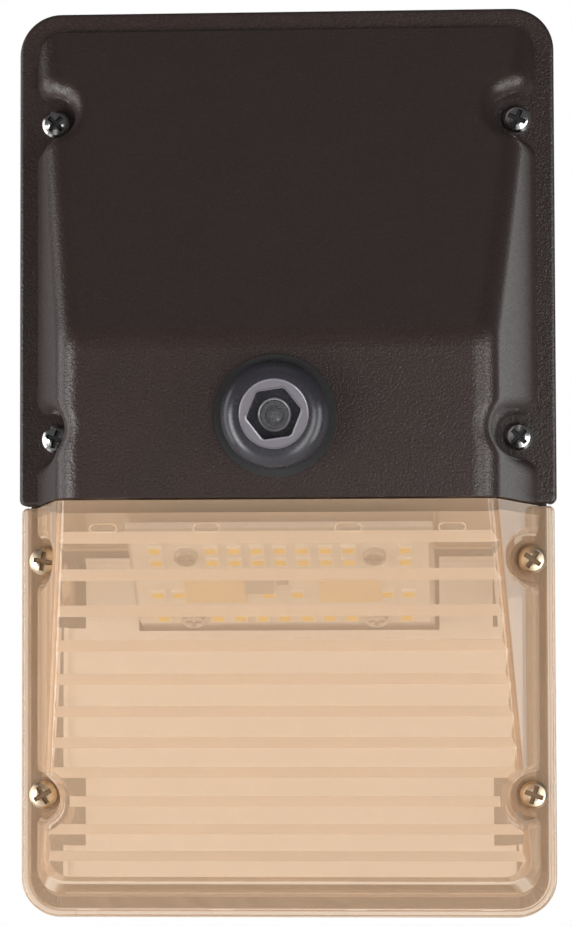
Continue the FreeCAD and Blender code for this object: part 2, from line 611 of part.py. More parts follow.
def conduit_plugs():
    plugs = []
    for start, out in conduit_entries():
        seat = start + out * (CONDUIT_PAD_T + SEAL_T)
        body = Part.makeCylinder(CONDUIT_R - PLUG_FIT, CONDUIT_BOSS_T + CONDUIT_PAD_T + SEAL_T,
                                 start - out * CONDUIT_BOSS_T, out)
        cap = Part.makeCylinder(PLUG_FLANGE_R, PLUG_FLANGE_T, seat, out)
        across = out.cross(Vector(0, 1, 0))
        slot = Part.makeBox(2 * PLUG_FLANGE_R, PLUG_SLOT_W, PLUG_SLOT_DEPTH + 1)
        slot.translate(Vector(-PLUG_FLANGE_R, -PLUG_SLOT_W / 2, PLUG_FLANGE_T - PLUG_SLOT_DEPTH))
        frame = FreeCAD.Matrix(across.x, 0, out.x, seat.x, across.y, 1, out.y, seat.y,
                               across.z, 0, out.z, seat.z, 0, 0, 0, 1)
        plugs.append(fuse([body, cap]).cut(slot.transformGeometry(frame)))
    return Part.makeCompound(plugs)


def plug_seals():
    rings = []
    for start, out in conduit_entries():
        seat = start + out * CONDUIT_PAD_T
        ring = Part.makeCylinder(PLUG_FLANGE_R, SEAL_T, seat, out)
        rings.append(ring.cut(Part.makeCylinder(CONDUIT_R, SEAL_T, seat, out)))
    return Part.makeCompound(rings)


def wire_grommet():
    """Rubber bush through the partition, for the leads from the driver to the board."""
    low = PARTITION_LOW
    high = PARTITION_HIGH
    outline = [(GROMMET_BORE_R, low - GROMMET_LIP), (GROMMET_HOLE_R + GROMMET_LIP, low - GROMMET_LIP),
               (GROMMET_HOLE_R + GROMMET_LIP, low), (GROMMET_HOLE_R, low), (GROMMET_HOLE_R, high),
               (GROMMET_HOLE_R + GROMMET_LIP, high), (GROMMET_HOLE_R + GROMMET_LIP, high + GROMMET_LIP),
               (GROMMET_BORE_R, high + GROMMET_LIP)]
    points = [at(GROMMET_X + r, GROMMET_DEPTH, z) for r, z in outline]
    face = Part.Face(Part.makePolygon(points + points[:1]))
    return face.revolve(at(GROMMET_X, GROMMET_DEPTH, 0), Vector(0, 0, 1), 360)


def ground_screw():
    z = WIRE_ENTRY_Z + GROUND_SCREW_UP
    seat = BACK_WALL + GROUND_BOSS_H
    head = hexagon(GROUND_SCREW_X, z, 2 * SCREW_HEAD_R, seat, seat + SCREW_HEAD_H)
    shank = rod(GROUND_SCREW_X, z, SMALL_SCREW_R, seat - GROUND_BOSS_H, seat + SCREW_HEAD_H / 2)
    slot = block(GROUND_SCREW_X - SCREW_HEAD_R, GROUND_SCREW_X + SCREW_HEAD_R, seat + SCREW_HEAD_H / 2,
                 seat + SCREW_HEAD_H + 1, z - CROSS_W / 2, z + CROSS_W / 2)
    return fuse([head, shank]).cut(slot)


# ---------------------------------------------------------------- driver
def driver_case():
    """Open-topped can with an ear at each end."""
    half = DRIVER_W / 2
    low = DRIVER_Z - DRIVER_H / 2
    high = DRIVER_Z + DRIVER_H / 2
    top = BACK_WALL + DRIVER_T - DRIVER_LID_T
    can = block(-half, half, BACK_WALL, top, low, high)
    upright = [e for e in can.Edges if e.BoundBox.YLength > 1]
    can = can.makeFillet(DRIVER_WALL, upright)
    can = can.cut(block(DRIVER_WALL - half, half - DRIVER_WALL, BACK_WALL + DRIVER_WALL, top,
                        low + DRIVER_WALL, high - DRIVER_WALL))
    parts = [can]
    for s in (-1, 1):
        x = s * (half + DRIVER_EAR / 2)
        parts.append(block(min(s * (half - DRIVER_WALL / 2), s * (half + DRIVER_EAR)),
                           max(s * (half - DRIVER_WALL / 2), s * (half + DRIVER_EAR)),
                           BACK_WALL, BACK_WALL + DRIVER_EAR_T, DRIVER_Z - DRIVER_EAR / 2, DRIVER_Z + DRIVER_EAR / 2))
    can = fuse(parts)
    return can.cut([rod(s * (half + DRIVER_EAR / 2), DRIVER_Z, SMALL_SCREW_R, 0, HOUSING_DEPTH) for s in (-1, 1)])


def driver_lid():
    seat = BACK_WALL + DRIVER_T - DRIVER_LID_T
    lid = block(-DRIVER_W / 2, DRIVER_W / 2, seat, seat + DRIVER_LID_T,
                DRIVER_Z - DRIVER_H / 2, DRIVER_Z + DRIVER_H / 2)
    corners = [e for e in lid.Edges if e.BoundBox.YLength > 1]
    return lid.makeFillet(DRIVER_WALL, corners)


def switch_body():
    """Slide switch housing on the driver lid, with the slot its knob runs in."""
    seat = BACK_WALL + DRIVER_T
    body = block(SWITCH_X - SWITCH_W / 2, SWITCH_X + SWITCH_W / 2, seat, seat + SWITCH_T,
                 DRIVER_Z - SWITCH_H / 2, DRIVER_Z + SWITCH_H / 2)
    reach = SWITCH_KNOB_W / 2 + SWITCH_STEP + SWITCH_CLEAR
    half = SWITCH_KNOB_H / 2 + SWITCH_CLEAR
    return body.cut(block(SWITCH_X - reach, SWITCH_X + reach, seat + SWITCH_T / 2, seat + SWITCH_T + 1,
                          DRIVER_Z - half, DRIVER_Z + half))


def switch_knob():
    seat = BACK_WALL + DRIVER_T + SWITCH_T / 2
    return block(SWITCH_X - SWITCH_KNOB_W / 2, SWITCH_X + SWITCH_KNOB_W / 2, seat,
                 seat + SWITCH_T / 2 + SWITCH_KNOB_T / 2, DRIVER_Z - SWITCH_KNOB_H / 2, DRIVER_Z + SWITCH_KNOB_H / 2)


def driver_screws():
    x = (DRIVER_W + DRIVER_EAR) / 2
    seat = BACK_WALL + DRIVER_EAR_T
    return Part.makeCompound([small_screw(s * x, DRIVER_Z, seat, DRIVER_EAR_T + BACK_WALL / 2) for s in (-1, 1)])


# ---------------------------------------------------------------- light engine
def bracket_end():
    """Lower end of the sloped face, as (depth, z)."""
    angle = math.radians(LED_TILT)
    return (LED_NOSE_DEPTH - BRACKET_SLOPE * math.sin(angle), LED_NOSE_Z - BRACKET_SLOPE * math.cos(angle))


def bracket_outline(inset):
    """Side view of the bracket, with every wall moved in by the inset."""
    top = PARTITION_LOW - BRACKET_TOP_GAP - inset
    angle = math.radians(LED_TILT)
    end_depth, end_z = bracket_end()
    slope = math.cos(angle) / math.sin(angle)
    shift = inset / math.sin(angle)
    low = end_z + inset
    back = BACK_WALL - inset / 2 if inset else BACK_WALL
    low_depth = LED_NOSE_DEPTH - (LED_NOSE_Z + shift - low) / slope
    if inset:
        top_depth = LED_NOSE_DEPTH - (LED_NOSE_Z + shift - top) / slope
        return [(back, top), (min(top_depth, LED_NOSE_DEPTH - inset), top), (low_depth, low), (back, low)]
    return [(back, top), (LED_NOSE_DEPTH, top), (LED_NOSE_DEPTH, LED_NOSE_Z), (end_depth, low), (back, low)]


def led_bracket():
    """Cast aluminium wedge, open at the back between its ribs, with two screwed feet."""
    half = BRACKET_W / 2
    shape = profile_x(bracket_outline(0), -half, half)
    bay = (BRACKET_W - (BRACKET_RIBS + 2) * BRACKET_WALL) / (BRACKET_RIBS + 1)
    for k in range(BRACKET_RIBS + 1):
        x = -half + BRACKET_WALL + k * (bay + BRACKET_WALL)
        shape = shape.cut(profile_x(bracket_outline(BRACKET_WALL), x, x + bay))
    low = bracket_end()[1]
    feet = []
    for s in (-1, 1):
        x = s * BRACKET_FOOT_X
        feet.append(block(x - BRACKET_FOOT / 2, x + BRACKET_FOOT / 2, BACK_WALL, BACK_WALL + BRACKET_FOOT_T,
                          low - BRACKET_FOOT, low + BRACKET_WALL / 2))
    shape = fuse([shape] + feet)
    holes = [rod(s * BRACKET_FOOT_X, low - BRACKET_FOOT / 2, SMALL_SCREW_R, 0, HOUSING_DEPTH) for s in (-1, 1)]
    holes += [on_slope(Part.makeCylinder(SMALL_SCREW_R, BRACKET_WALL + 1, Vector(x, y, -BRACKET_WALL)))
              for x, y in board_screw_points()]
    holes.append(on_slope(slope_box(0, CONNECTOR_ROW, LEAD_SLOT_W, LEAD_SLOT_H, -2 * BRACKET_WALL,
                                    2 * BRACKET_WALL + 1)))
    return shape.cut(holes)


def on_slope(shape):
    """Moves a shape drawn flat, Y up the slope from the nose and Z out of it, onto the bracket."""
    shape = shape.copy()
    shape.Placement = FreeCAD.Placement(at(0, LED_NOSE_DEPTH, LED_NOSE_Z),
                                        FreeCAD.Rotation(Vector(1, 0, 0), 90 + LED_TILT))
    return shape


def slope_box(x, row, width, height, z0, thickness):
    return Part.makeBox(width, height, thickness,
                        Vector(x - width / 2, -BOARD_TOP - row - height / 2, z0))


def board_screw_points():
    return [(s * BOARD_SCREW_X, -BOARD_TOP - row) for row in BOARD_SCREW_ROWS for s in (-1, 1)]


def board_plate(z0, thickness):
    plate = slope_box(0, BOARD_H / 2, BOARD_W, BOARD_H, z0, thickness)
    holes = [Part.makeCylinder(SMALL_SCREW_R, thickness, Vector(x, y, z0)) for x, y in board_screw_points()]
    holes.append(slope_box(0, CONNECTOR_ROW, LEAD_SLOT_W, LEAD_SLOT_H, z0, thickness))
    return on_slope(plate.cut(holes))


def led_positions():
    points = [(s * x, row) for row in LED_ROWS for x in LED_ROW_X for s in ((-1, 1) if x else (1,))]
    points += [(s * x, LED_SHORT_ROW) for x in LED_SHORT_X for s in (-1, 1)]
    return points


def led_chips():
    base = PAD_T + BOARD_T
    chips = [slope_box(x, row, LED_W, LED_H, base, LED_T) for x, row in led_positions()]
    return on_slope(Part.makeCompound(chips))


def regulators():
    base = PAD_T + BOARD_T
    return on_slope(Part.makeCompound([slope_box(s * REGULATOR_X, REGULATOR_ROW, REGULATOR_W, REGULATOR_H,
                                                 base, REGULATOR_T) for s in (-1, 1)]))


def board_connector():
    base = PAD_T + BOARD_T
    body = slope_box(CONNECTOR_X, CONNECTOR_ROW, CONNECTOR_W, CONNECTOR_H, base, CONNECTOR_T)
    ports = [Part.makeCylinder(CONNECTOR_T / 4, CONNECTOR_W / 2,
                               Vector(CONNECTOR_X, s * CONNECTOR_H / 4 - BOARD_TOP - CONNECTOR_ROW,
                                      base + CONNECTOR_T / 2), Vector(1, 0, 0)) for s in (-1, 1)]
    return on_slope(body.cut(ports))


def board_screws():
    base = PAD_T + BOARD_T
    small = SMALL_HEAD_R / SCREW_HEAD_R
    span = CROSS_SPAN * small
    width = CROSS_W * small
    heads = []
    for x, y in board_screw_points():
        shank = Part.makeCylinder(SMALL_SCREW_R, base + BRACKET_WALL, Vector(x, y, -BRACKET_WALL))
        head = Part.makeCylinder(SMALL_HEAD_R, SMALL_HEAD_H, Vector(x, y, base))
        head = head.makeFillet(SMALL_HEAD_H / 3, [e for e in head.Edges if e.BoundBox.ZMin > base + SMALL_HEAD_H / 2])
        cross = Part.makeBox(span, width, CROSS_DEPTH, Vector(x - span / 2, y - width / 2,
                                                              base + SMALL_HEAD_H - CROSS_DEPTH / 2))
        other = cross.copy()
        other.rotate(Vector(x, y, 0), Vector(0, 0, 1), 90)
        heads.append(fuse([shank, head]).cut([cross, other]))
    return on_slope(Part.makeCompound(heads))


def bracket_screws():
    z = bracket_end()[1] - BRACKET_FOOT / 2
    seat = BACK_WALL + BRACKET_FOOT_T
    return Part.makeCompound([small_screw(s * BRACKET_FOOT_X, z, seat, BRACKET_FOOT_T + BACK_WALL / 2)
                              for s in (-1, 1)])


def reflector():
    """White tray with a turned-up edge, notched for the bracket and the screw bosses."""
    top = PARTITION_LOW - REFLECTOR_TOP_GAP
    base = REFLECTOR_FLOOR - REFLECTOR_T

    def tray(inset, depth, rise):
        return slab(rounded_rect(REFLECTOR_HALF - inset, REFLECTOR_LOW + inset, top - inset,
                                 REFLECTOR_CORNER_R - inset, REFLECTOR_CORNER_R - inset, depth), rise)
    shape = tray(0, base, REFLECTOR_LIP).cut(tray(REFLECTOR_T, REFLECTOR_FLOOR, REFLECTOR_LIP))
    half = BRACKET_W / 2
    low = bracket_end()[1] - REFLECTOR_GAP
    cuts = [block(-half - REFLECTOR_GAP, half + REFLECTOR_GAP, 0, FRONT, low, 0)]
    for x, z in LENS_SCREWS:
        inner = x - math.copysign(SCREW_BOSS_R + REFLECTOR_NOTCH_X, x)
        outer = x + math.copysign(REFLECTOR_HALF, x)
        reach = SCREW_BOSS_R + REFLECTOR_NOTCH_Z
        cuts.append(block(min(inner, outer), max(inner, outer), 0, FRONT, z - reach, z + reach))
    return shape.cut(cuts)


def tray_posts():
    """Hexagonal standoffs on the floor of the housing, under the tray."""
    seat = REFLECTOR_FLOOR - REFLECTOR_T - REFLECTOR_PAD_T
    return Part.makeCompound([hexagon(x, z, REFLECTOR_POST_HEX, BACK_WALL, seat)
                              for x, z in REFLECTOR_POSTS])


def reflector_pads():
    seat = REFLECTOR_FLOOR - REFLECTOR_T - REFLECTOR_PAD_T
    return Part.makeCompound([rod(x, z, REFLECTOR_PAD_R, seat, seat + REFLECTOR_PAD_T)
                              for x, z in REFLECTOR_POSTS])


# ---------------------------------------------------------------- photocell
def photocell_body():
    """Domed button with a hex socket in its face and a threaded stem through the cover."""
    seat = FRONT + CELL_SEAL_T
    top = FRONT + CELL_PROUD
    rim = seat + CELL_RIM
    back = FRONT - CELL_STEM
    a = at(0, back, CELL_Z)
    points = [(0, back), (CELL_STEM_R, back), (CELL_STEM_R, seat), (CELL_R, seat), (CELL_R, rim)]
    edges = [Part.LineSegment(at(p[0], p[1], CELL_Z), at(q[0], q[1], CELL_Z)).toShape()
             for p, q in zip(points, points[1:])]
    bulge = at((CELL_R + CELL_FACE_R) / 2 + CELL_GROOVE * 1.6, (rim + top) / 2 + CELL_GROOVE * 1.6, CELL_Z)
    edges.append(Part.Arc(at(CELL_R, rim, CELL_Z), bulge, at(CELL_FACE_R, top, CELL_Z)).toShape())
    points = [(CELL_FACE_R, top), (CELL_FACE_R, top - CELL_GROOVE), (0, top - CELL_GROOVE), (0, back)]
    edges += [Part.LineSegment(at(p[0], p[1], CELL_Z), at(q[0], q[1], CELL_Z)).toShape()
              for p, q in zip(points, points[1:])]
    body = Part.Face(Part.Wire(edges)).revolve(a, Vector(0, 1, 0), 360)
    socket = hexagon(0, CELL_Z, CELL_HEX, top - CELL_HEX_DEPTH, top + 1, CELL_HEX_TURN)
    eye = rod(0, CELL_Z, CELL_EYE_R, top - CELL_HEX_DEPTH - CELL_EYE_DEPTH, top)
    return body.cut([socket, eye])


def photocell_sensor():
    base = FRONT + CELL_PROUD - CELL_HEX_DEPTH - CELL_EYE_DEPTH
    dome = revolve([(0, base), (CELL_SENSOR_R, base), (CELL_SENSOR_R, base + 0.6),
                    (CELL_SENSOR_R * 0.75, base + 1.2), (CELL_SENSOR_R * 0.4, base + 1.6), (0, base + 1.75)], 0, CELL_Z)
    return dome


def photocell_window():
    top = FRONT + CELL_PROUD - CELL_HEX_DEPTH
    return rod(0, CELL_Z, CELL_EYE_R, top - CELL_WINDOW_T, top)


def photocell_seal():
    return rod(0, CELL_Z, CELL_SEAL_R, FRONT, FRONT + CELL_SEAL_T).cut(
        rod(0, CELL_Z, CELL_STEM_R, FRONT, FRONT + CELL_SEAL_T))


def photocell_nut():
    seat = FRONT - COVER_WALL
    nut = hexagon(0, CELL_Z, CELL_NUT_HEX, seat - CELL_NUT_T, seat)
    return nut.cut(rod(0, CELL_Z, CELL_STEM_R, seat - CELL_NUT_T, seat))


NODES = {
    "back_housing": back_housing,
    "front_cover": front_cover,
    "lens": lens,
    "cover_gasket": lambda: gasket(PARTITION_Z + SPLIT_GAP / 2, HOUSING_TOP, COVER_SCREWS),
    "lens_gasket": lambda: gasket(-HOUSING_TOP, PARTITION_Z - SPLIT_GAP / 2, LENS_SCREWS),
    "cover_screws": lambda: front_screws(COVER_SCREWS, COVER_SCREW_TURNS),
    "lens_screws": lambda: front_screws(LENS_SCREWS, LENS_SCREW_TURNS),
    "conduit_plugs": conduit_plugs,
    "plug_seals": plug_seals,
    "wire_grommet": wire_grommet,
    "ground_screw": ground_screw,
    "driver_case": driver_case,
    "driver_lid": driver_lid,
    "driver_screws": driver_screws,
    "switch_body": switch_body,
    "switch_knob": switch_knob,
    "led_bracket": led_bracket,
    "bracket_screws": bracket_screws,
    "thermal_pad": lambda: board_plate(0, PAD_T),
    "led_board": lambda: board_plate(PAD_T, BOARD_T),
    "led_chips": led_chips,
    "regulators": regulators,
    "board_connector": board_connector,
    "board_screws": board_screws,
    "reflector": reflector,
    "tray_posts": tray_posts,
    "reflector_pads": reflector_pads,
    "photocell_body": photocell_body,
    "photocell_sensor": photocell_sensor,
    "photocell_window": photocell_window,
    "photocell_seal": photocell_seal,
    "photocell_nut": photocell_nut,
}

for name, make in NODES.items():
    shape = make()
    shape.exportStep("parts/" + name + ".step")
    print(name, "valid" if shape.isValid() else "INVALID", len(shape.Solids), round(shape.Volume, 1))
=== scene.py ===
# %% [markdown]
# # A wall pack light
# The model arrives as a fixed frame of named parts, in metres, with the wall at Y = 0.
# Everything below gives those parts their finish, adds small raised details, and sets
# up soft studio light and a camera.

# %% Load the frame
import math

import bpy
import numpy as np
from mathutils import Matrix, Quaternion, Vector


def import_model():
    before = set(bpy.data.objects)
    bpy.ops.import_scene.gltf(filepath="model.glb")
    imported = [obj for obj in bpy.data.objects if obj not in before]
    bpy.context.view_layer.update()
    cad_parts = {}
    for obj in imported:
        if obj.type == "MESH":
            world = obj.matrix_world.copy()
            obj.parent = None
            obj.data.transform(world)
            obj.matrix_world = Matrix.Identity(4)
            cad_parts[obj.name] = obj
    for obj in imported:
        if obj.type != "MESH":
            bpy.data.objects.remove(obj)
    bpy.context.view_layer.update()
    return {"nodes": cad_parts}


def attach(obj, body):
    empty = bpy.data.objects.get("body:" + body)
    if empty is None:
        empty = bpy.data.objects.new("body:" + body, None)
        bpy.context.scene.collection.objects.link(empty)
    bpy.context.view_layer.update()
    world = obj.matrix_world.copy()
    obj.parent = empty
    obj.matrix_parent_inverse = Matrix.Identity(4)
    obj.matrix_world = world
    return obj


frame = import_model()
nodes = frame["nodes"]


# %% [markdown]
# ## Node helpers
# A material is a small graph. These helpers add a node, set its sockets by name and
# link it, so that each finish below reads as a list of layers.

# %% Node helpers
def new_material(name):
    """An empty material with a Principled shader wired to its output."""
    mat = bpy.data.materials.new(name)
    mat.use_nodes = True
    tree = mat.node_tree
    tree.nodes.clear()
    out = tree.nodes.new("ShaderNodeOutputMaterial")
    shader = tree.nodes.new("ShaderNodeBsdfPrincipled")
    tree.links.new(shader.outputs[0], out.inputs["Surface"])
    return mat, tree, shader, out


def add(tree, kind, settings=None, **inputs):
    """Adds a node; settings are attributes, inputs are socket values or links."""
    node = tree.nodes.new("ShaderNode" + kind)
    for key, value in (settings or {}).items():
        setattr(node, key, value)
    for key, value in inputs.items():
        socket = node.inputs[key.replace("_", " ")]
        if isinstance(value, bpy.types.NodeSocket):
            tree.links.new(value, socket)
        else:
            socket.default_value = value
    return node


def object_coords(tree):
    """Place on the part in metres, the same on every piece."""
    return add(tree, "TexCoord").outputs["Object"]


def noise(tree, scale, detail=2.0, rough=0.5):
    """Noise that is fixed to the part; the scale is in repeats per metre."""
    return add(tree, "TexNoise", Vector=object_coords(tree), Scale=scale,
               Detail=detail, Roughness=rough).outputs["Fac"]


def ramp(tree, fac, low, high, a, b):
    """Maps a range of values to a range of greys or numbers."""
    node = add(tree, "MapRange", Value=fac)
    for key, value in (("From Min", low), ("From Max", high), ("To Min", a), ("To Max", b)):
        node.inputs[key].default_value = value
    return node.outputs["Result"]


def mix_colour(tree, fac, a, b):
    """Colour a where fac is 0, colour b where it is 1, and a blend between."""
    node = tree.nodes.new("ShaderNodeMix")
    node.data_type = "RGBA"
    tree.links.new(fac, node.inputs[0])
    for socket, value in ((node.inputs[6], a), (node.inputs[7], b)):
        if isinstance(value, bpy.types.NodeSocket):
            tree.links.new(value, socket)
        else:
            socket.default_value = (*value, 1.0)
    return node.outputs[2]


def bump(tree, height, strength, distance):
    """Tilts the shading as if the surface rose by height times distance, in metres."""
    return add(tree, "Bump", Height=height, Strength=strength,
               Distance=distance).outputs["Normal"]


def finish_with(mat, *names):
    """Puts a material on parts of the frame."""
    for name in names:
        slots = nodes[name].data.materials
        slots.clear()
        slots.append(mat)


# %% [markdown]
# ## Finishes
# The casting is powder coated: a dark bronze with a fine orange peel that breaks up the
# highlights. Noise at about 0.5 mm drives the bump, and small flecks are a little lighter.

# %% Powder coat
def powder_coat():
    """Dark bronze between two close browns, with pale flecks and an orange peel."""
    mat, tree, shader, _ = new_material("bronze_powder_coat")
    grain = noise(tree, 1700.0, 2.0, 0.6)
    cloud = noise(tree, 90.0, 3.0, 0.5)
    fleck = ramp(tree, noise(tree, 2200.0, 0.0), 0.60, 0.80, 0.0, 0.5)
    base = mix_colour(tree, cloud, (0.0260, 0.0170, 0.0146), (0.0345, 0.0212, 0.0188))
    tree.links.new(mix_colour(tree, fleck, base, (0.052, 0.038, 0.035)), shader.inputs["Base Color"])
    tree.links.new(ramp(tree, grain, 0.3, 0.7, 0.24, 0.38), shader.inputs["Roughness"])
    shader.inputs["Specular IOR Level"].default_value = 0.50
    tree.links.new(bump(tree, grain, 0.8, 0.00016), shader.inputs["Normal"])
    return mat


finish_with(powder_coat(), "front_cover", "back_housing", "conduit_plugs")


# %% [markdown]
# Bright screws: zinc plated steel with a soft brushed bump. The lens screws are the
# yellow zinc kind.

# %% Metals
def metal(name, colour, rough, grain=900.0):
    """Bare metal whose tone and polish vary with one fine noise."""
    mat, tree, shader, _ = new_material(name)
    fine = noise(tree, grain, 3.0)
    shader.inputs["Metallic"].default_value = 1.0
    low = tuple(c * 0.82 for c in colour)
    tree.links.new(mix_colour(tree, fine, low, colour), shader.inputs["Base Color"])
    tree.links.new(ramp(tree, fine, 0.2, 0.8, rough * 0.8, rough * 1.3), shader.inputs["Roughness"])
    tree.links.new(bump(tree, fine, 0.15, 0.00005), shader.inputs["Normal"])
    return mat


steel = metal("zinc_plated_steel", (0.66, 0.65, 0.64), 0.15)
finish_with(steel, "cover_screws", "driver_screws", "bracket_screws", "board_screws",
            "photocell_nut")
finish_with(metal("yellow_zinc", (0.80, 0.64, 0.45), 0.34), "lens_screws")
finish_with(metal("green_zinc", (0.06, 0.30, 0.10), 0.35), "ground_screw")
finish_with(metal("galvanised_sheet", (0.62, 0.63, 0.65), 0.35, 220.0), "driver_case", "driver_lid")
finish_with(metal("cast_aluminium", (0.70, 0.69, 0.68), 0.45, 500.0), "led_bracket")


# %% [markdown]
# Plastics and rubbers share one recipe: a base colour that varies a little, a
# roughness and a very fine bump.

# %% Plastics
def plastic(name, colour, rough, spread=0.12, grain=1200.0, depth=0.00003):
    """Plastic, rubber or paint; spread is how far the colour darkens in the noise."""
    mat, tree, shader, _ = new_material(name)
    fine = noise(tree, grain, 2.0)
    low = tuple(c * (1 - spread) for c in colour)
    tree.links.new(mix_colour(tree, fine, low, colour), shader.inputs["Base Color"])
    tree.links.new(ramp(tree, fine, 0.2, 0.8, rough * 0.85, rough * 1.15), shader.inputs["Roughness"])
    tree.links.new(bump(tree, fine, 0.3, depth), shader.inputs["Normal"])
    return mat


finish_with(plastic("photocell_plastic", (0.032, 0.030, 0.036), 0.26), "photocell_body")
finish_with(plastic("black_rubber", (0.018, 0.017, 0.017), 0.75), "plug_seals", "wire_grommet",
            "photocell_seal")
finish_with(plastic("black_plastic", (0.02, 0.02, 0.02), 0.5), "switch_body")
finish_with(plastic("white_plastic", (0.80, 0.80, 0.78), 0.4), "switch_knob")
finish_with(plastic("connector_grey", (0.46, 0.42, 0.38), 0.4), "board_connector")
finish_with(plastic("gasket_silicone", (0.42, 0.33, 0.24), 0.7), "cover_gasket", "lens_gasket")
finish_with(plastic("thermal_pad_grey", (0.25, 0.28, 0.33), 0.8), "thermal_pad")
finish_with(plastic("white_solder_mask", (0.80, 0.76, 0.70), 0.45), "led_board")
finish_with(plastic("led_package", (0.84, 0.80, 0.74), 0.35), "led_chips")
finish_with(plastic("regulator_amber", (0.80, 0.62, 0.34), 0.4), "regulators")
finish_with(plastic("white_reflector", (0.86, 0.83, 0.80), 0.5), "reflector")
finish_with(plastic("black_foam", (0.03, 0.03, 0.03), 0.9, 0.4, 2500.0, 0.0001), "reflector_pads")
finish_with(plastic("sensor_smoke", (0.020, 0.018, 0.020), 0.12), "photocell_sensor")


# %% [markdown]
# ## Clear plastic
# The lens is clear polycarbonate with a warm veil: most of the light passes through it
# with a pale tint, and the rest scatters in a stronger one, which hides some of the
# contrast of what lies behind. Shadow rays pass straight through, so the lamps light
# the inner parts.

# %% Clear plastics
POLYCARBONATE_IOR = 1.45
STEP_CLOUD = 0.88         # share of the veil on the slanted steps


def slanted(tree):
    """1 on surfaces that lean about 55 degrees, as the steps inside the lens do."""
    normal = add(tree, "TexCoord").outputs["Normal"]
    up = add(tree, "SeparateXYZ", Vector=normal).outputs["Z"]
    lean = add(tree, "Math", {"operation": "ABSOLUTE"}, Value=up).outputs[0]
    low = ramp(tree, lean, 0.60, 0.70, 0.0, 1.0)
    high = ramp(tree, lean, 0.86, 0.92, 1.0, 0.0)
    both = tree.nodes.new("ShaderNodeMath")
    both.operation = "MULTIPLY"
    tree.links.new(low, both.inputs[0])
    tree.links.new(high, both.inputs[1])
    return both.outputs[0]


def largest(tree, first, second):
    """The larger of two values."""
    pick = tree.nodes.new("ShaderNodeMath")
    pick.operation = "MAXIMUM"
    tree.links.new(first, pick.inputs[0])
    tree.links.new(second, pick.inputs[1])
    return pick.outputs[0]


def lens_cloud(tree, share):
    """Share of the veil on the lens: more on the flange, below the board and on the sides."""
    place = add(tree, "SeparateXYZ", Vector=object_coords(tree)).outputs
    flange = ramp(tree, place["Y"], -0.047, -0.041, share, share * 1.35)
    below_board = ramp(tree, place["Z"], -0.048, -0.040, share * 1.2, share)
    normal = add(tree, "TexCoord").outputs["Normal"]
    across = add(tree, "SeparateXYZ", Vector=normal).outputs["X"]
    sideways = add(tree, "Math", {"operation": "ABSOLUTE"}, Value=across).outputs[0]
    flank = ramp(tree, sideways, 0.80, 0.90, share, share * 1.35)
    return largest(tree, flange, largest(tree, below_board, flank))


def clear(name, tint, rough, veil, share, shadow, frost=None):
    """Glass and a scattering veil, mixed by the share of the veil; frost clouds the steps."""
    mat, tree, shader, out = new_material(name)
    shader.inputs["Base Color"].default_value = (*tint, 1.0)
    shader.inputs["Roughness"].default_value = rough
    shader.inputs["IOR"].default_value = POLYCARBONATE_IOR
    shader.inputs["Transmission Weight"].default_value = 1.0
    soft = add(tree, "BsdfDiffuse", Color=(*veil, 1.0))
    if not frost:
        cloud = ramp(tree, noise(tree, 40.0, 3.0), 0.2, 0.8, share * 0.96, share * 1.04)
    else:
        cloud = lens_cloud(tree, share)
        steps = slanted(tree)
        tree.links.new(mix_colour(tree, steps, veil, frost), soft.inputs["Color"])
        more = tree.nodes.new("ShaderNodeMix")
        tree.links.new(steps, more.inputs[0])
        tree.links.new(cloud, more.inputs[2])
        more.inputs[3].default_value = STEP_CLOUD
        cloud = more.outputs[0]
    body = tree.nodes.new("ShaderNodeMixShader")
    tree.links.new(cloud, body.inputs[0])
    tree.links.new(shader.outputs[0], body.inputs[1])
    tree.links.new(soft.outputs[0], body.inputs[2])
    open_glass = add(tree, "BsdfTransparent", Color=(*shadow, 1.0)).outputs[0]
    path = add(tree, "LightPath").outputs["Is Shadow Ray"]
    mix = tree.nodes.new("ShaderNodeMixShader")
    tree.links.new(path, mix.inputs[0])
    tree.links.new(body.outputs[0], mix.inputs[1])
    tree.links.new(open_glass, mix.inputs[2])
    tree.links.new(mix.outputs[0], out.inputs["Surface"])
    return mat


finish_with(clear("lens_polycarbonate", (0.70, 0.675, 0.62), 0.02, (0.70, 0.485, 0.315), 0.23,
                  (0.78, 0.73, 0.69), frost=(0.60, 0.475, 0.365)), "lens")
finish_with(clear("clear_window", (0.95, 0.95, 0.97), 0.02, (0.5, 0.5, 0.5), 0.02,
                  (0.9, 0.9, 0.9)), "photocell_window")


# %% [markdown]
# ## Light engine
# Each LED package has a yellow phosphor window with rounded corners and a slightly
# domed top. All windows are one closed mesh, laid out on the slope of the board.

# %% LED windows
TILT = math.radians(90 + 62.3)
NOSE = (0.0, -0.0775, -0.0166)
ROWS = {4.5: (0.0, 5.6, 11.2, 16.8, 30.5), 9.2: (0.0, 5.6, 11.2, 16.8, 30.5),
        32.5: (0.0, 5.6, 11.2, 16.8, 30.5), 22.5: (3.5, 25.9, 31.2)}
CHIP_TOP = 0.5 + 1.6 + 0.8
BOARD_TOP = 1.6


def on_slope(points):
    """Board coordinates in mm (across, up the slope, out of it) to the frame, in metres."""
    p = np.asarray(points, dtype=float) / 1000.0
    c, s = math.cos(TILT), math.sin(TILT)
    return np.stack([p[:, 0] + NOSE[0], p[:, 1] * c - p[:, 2] * s + NOSE[1],
                     p[:, 1] * s + p[:, 2] * c + NOSE[2]], axis=1)


